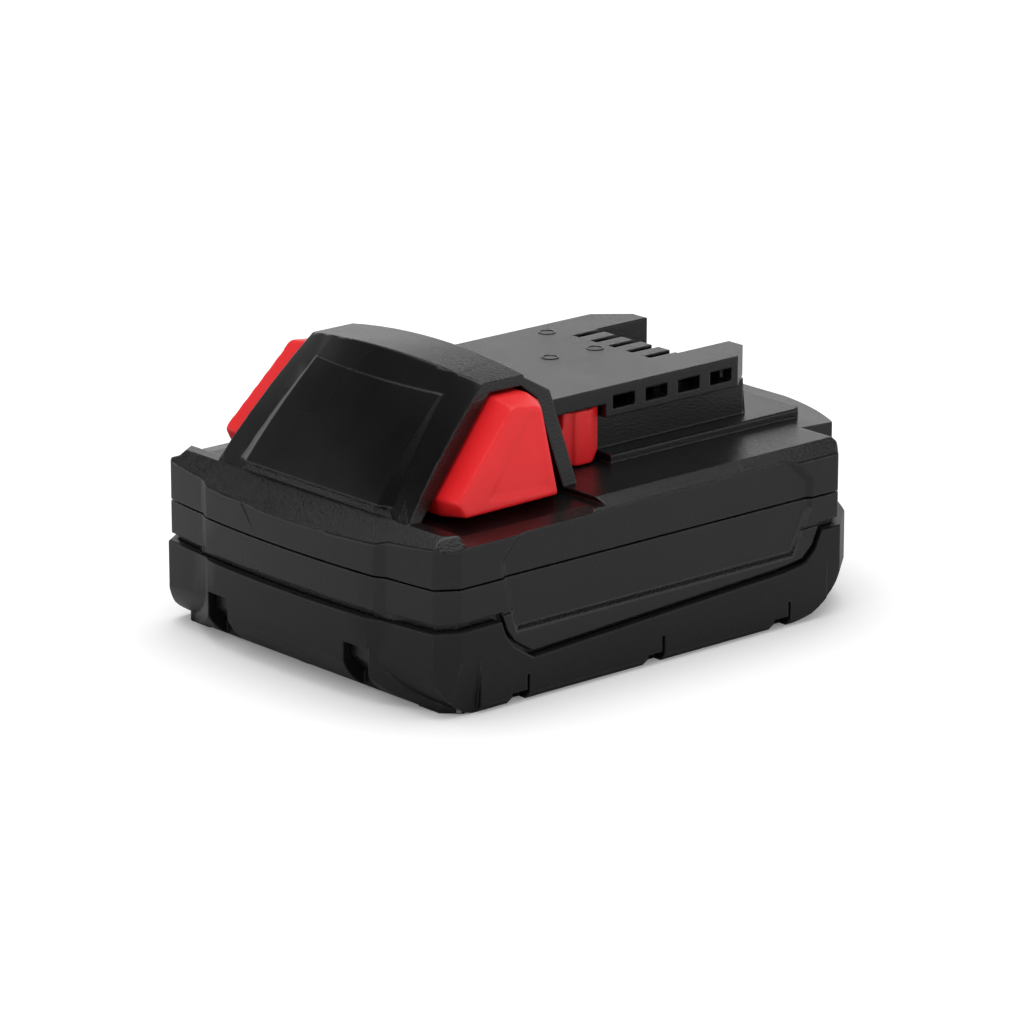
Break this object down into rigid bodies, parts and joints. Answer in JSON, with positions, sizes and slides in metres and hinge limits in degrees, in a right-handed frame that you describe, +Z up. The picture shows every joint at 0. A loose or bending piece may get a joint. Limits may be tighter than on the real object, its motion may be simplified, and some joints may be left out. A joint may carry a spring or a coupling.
{
  "type": "power tool battery pack",
  "caption": "Slide-on battery pack for a power tool: black case with a sloped tower, slide rail and contact mouth, red side latches, and a bumper base.",
  "frame": {"origin": "middle of the pack's footprint, on the surface it stands on", "axes": "+X along the rail toward its open front, away from the tower; +Y across the pack; +Z up"},
  "size_m": [0.1158, 0.079, 0.0547],
  "materials": {
    "case": "fine textured black",
    "base": "fine textured black, a little darker",
    "latch": "satin red",
    "spring": "drawn wire",
    "cell": "can in a shrink sleeve",
    "retainer": "matt grey",
    "nickel": "bare nickel",
    "insulator": "uncoated board",
    "board": "solder mask",
    "chip": "matt black",
    "shunt": "bare metal",
    "block": "matt black",
    "contact": "bare brass",
    "screw": "plated"
  },
  "bodies": {
    "pack": {"upper_case": "case", "lower_case": "case", "base_frame": "base", "spring_left": "spring", "spring_right": "spring", "cell_1": "cell", "cell_2": "cell", "cell_3": "cell", "cell_4": "cell", "cell_5": "cell", "cell_retainer": "retainer", "strip_a1": "nickel", "strip_a2": "nickel", "strip_a3": "nickel", "strip_b1": "nickel", "strip_b2": "nickel", "strip_b3": "nickel", "insulator_left": "insulator", "insulator_right": "insulator", "circuit_board": "board", "controller_chip": "chip", "thermistor": "chip", "shunt": "shunt", "terminal_block": "block", "contact_1": "contact", "contact_2": "contact", "contact_3": "contact", "contact_4": "contact", "contact_5": "contact", "board_screw_1": "screw", "board_screw_2": "screw", "case_screw_1": "screw", "case_screw_2": "screw", "case_screw_3": "screw", "case_screw_4": "screw"},
    "latch_left": {"latch_left": "latch"},
    "latch_right": {"latch_right": "latch"}
  },
  "joints": [
    {"name": "latch_left_press", "type": "slide", "parent": "pack", "child": "latch_left", "axis": [0, -1, 0], "range_m": [0, 0.004], "stiffness_N_per_m": 1500, "springref_m": -0.003, "deforming": ["spring_left"]},
    {"name": "latch_right_press", "type": "slide", "parent": "pack", "child": "latch_right", "axis": [0, 1, 0], "range_m": [0, 0.004], "stiffness_N_per_m": 1500, "springref_m": -0.003, "deforming": ["spring_right"]}
  ]
}
